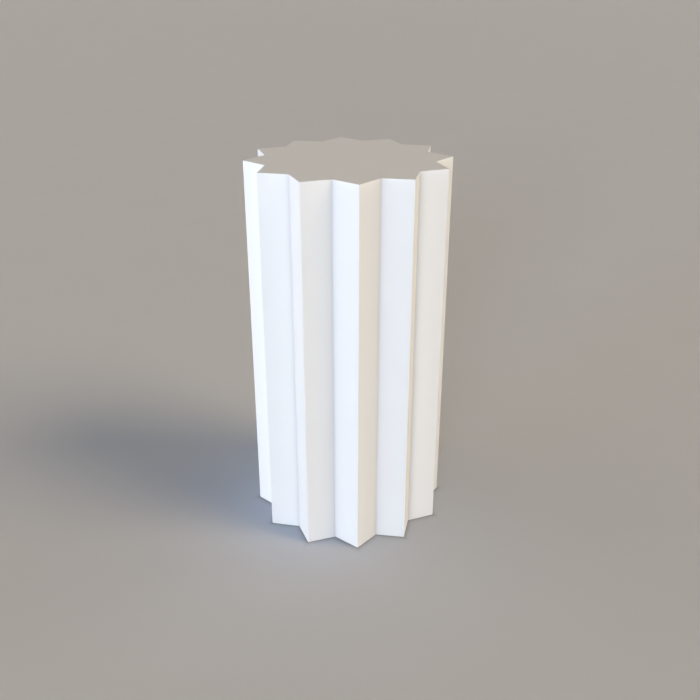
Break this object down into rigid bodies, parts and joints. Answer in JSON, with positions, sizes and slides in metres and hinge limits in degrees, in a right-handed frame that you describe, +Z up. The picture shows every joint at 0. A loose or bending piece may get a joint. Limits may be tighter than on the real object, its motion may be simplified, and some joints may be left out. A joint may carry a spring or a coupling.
{
  "type": "column",
  "caption": "Free-standing column with a star-shaped plan: sharp vertical arrises between V-shaped flutes, flat top and flat foot, matt white all over.",
  "frame": {"origin": "centre of the flat foot, on the floor", "axes": "+Z up along the column's axis, +X through one arris"},
  "size_m": [0.5288, 0.5288, 1],
  "materials": {
    "column": "matt white, smooth cast and painted"
  },
  "bodies": {
    "root": {"column": "column"}
  },
  "joints": []
}
